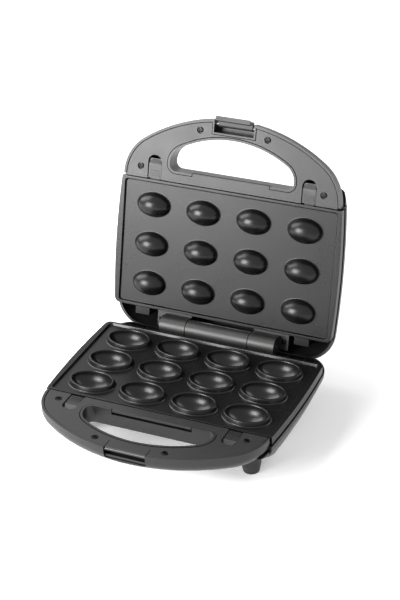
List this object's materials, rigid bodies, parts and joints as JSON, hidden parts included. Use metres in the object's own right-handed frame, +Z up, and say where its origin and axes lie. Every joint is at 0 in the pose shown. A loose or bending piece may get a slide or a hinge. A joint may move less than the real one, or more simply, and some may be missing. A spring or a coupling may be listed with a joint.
{
  "type": "multi snack maker",
  "caption": "Countertop nut-shaped snack maker with a hinged lid, domed upper and cupped lower cooking plates, D handles with finger holes, release keys and a front latch.",
  "frame": {"origin": "centre of the footprint on the surface that the feet stand on, with the lid open", "axes": "+Z up, +X to the right of a person facing the front, +Y from the handle to the hinge"},
  "size_m": [0.232, 0.276, 0.2565],
  "materials": {
    "housing_plastic": "satin",
    "panel_plastic": "satin",
    "coated_plate": "non-stick coated",
    "key_plastic": "satin",
    "dark_screws": "blackened",
    "steel_pins": "bright",
    "spring_steel": "zinc plated",
    "reflector_sheet": "mill",
    "heater_tube": "oxidised",
    "foot_rubber": "matte",
    "gland_rubber": "matte",
    "terminal_ceramic": "ceramic",
    "red_lens": "clear tinted",
    "green_lens": "clear tinted"
  },
  "bodies": {
    "base": {"base_housing": "housing_plastic", "base_handle_panel": "panel_plastic", "lower_plate": "coated_plate", "base_panel_screws": "dark_screws", "base_plate_catches": "spring_steel", "base_release_spring_left": "spring_steel", "base_release_spring_right": "spring_steel", "hinge_barrel": "housing_plastic", "hinge_pin": "steel_pins", "barrel_screws": "dark_screws", "base_reflector": "reflector_sheet", "base_heater": "heater_tube", "base_heater_brackets": "reflector_sheet", "thermostat": "terminal_ceramic", "thermal_fuse": "terminal_ceramic", "terminal_block": "terminal_ceramic", "cord_gland": "gland_rubber", "rubber_feet": "foot_rubber"},
    "lid": {"lid_housing": "housing_plastic", "lid_handle_panel": "panel_plastic", "upper_plate": "coated_plate", "lid_panel_screws": "dark_screws", "lid_plate_catches": "spring_steel", "lid_release_spring_left": "spring_steel", "lid_release_spring_right": "spring_steel", "hinge_knuckle_left": "housing_plastic", "hinge_knuckle_right": "housing_plastic", "knuckle_screws": "dark_screws", "latch_pin": "steel_pins", "lid_reflector": "reflector_sheet", "lid_heater": "heater_tube", "lid_heater_brackets": "reflector_sheet", "power_lamp_lens": "red_lens", "ready_lamp_lens": "green_lens"},
    "latch": {"latch": "housing_plastic"},
    "base_key_left": {"base_release_left": "key_plastic"},
    "base_key_right": {"base_release_right": "key_plastic"},
    "lid_key_left": {"lid_release_left": "key_plastic"},
    "lid_key_right": {"lid_release_right": "key_plastic"}
  },
  "joints": [
    {"name": "lid_hinge", "type": "hinge", "parent": "base", "child": "lid", "pos_m": [0, 0.07133, 0.048], "axis": [1, 0, 0], "range_deg": [0, 104.3]},
    {"name": "latch_pivot", "type": "hinge", "parent": "lid", "child": "latch", "pos_m": [0, 0.12729, 0.24488], "axis": [1, 0, 0], "range_deg": [-15, 12], "stiffness_Nm_per_rad": 0.03},
    {"name": "base_key_left_slide", "type": "slide", "parent": "base", "child": "base_key_left", "axis": [0, -1, 0], "range_m": [0, 0.0035], "stiffness_N_per_m": 200},
    {"name": "base_key_right_slide", "type": "slide", "parent": "base", "child": "base_key_right", "axis": [0, -1, 0], "range_m": [0, 0.0035], "stiffness_N_per_m": 200},
    {"name": "lid_key_left_slide", "type": "slide", "parent": "lid", "child": "lid_key_left", "axis": [0, 0.247, 0.969], "range_m": [0, 0.0035], "stiffness_N_per_m": 200},
    {"name": "lid_key_right_slide", "type": "slide", "parent": "lid", "child": "lid_key_right", "axis": [0, 0.247, 0.969], "range_m": [0, 0.0035], "stiffness_N_per_m": 200}
  ]
}
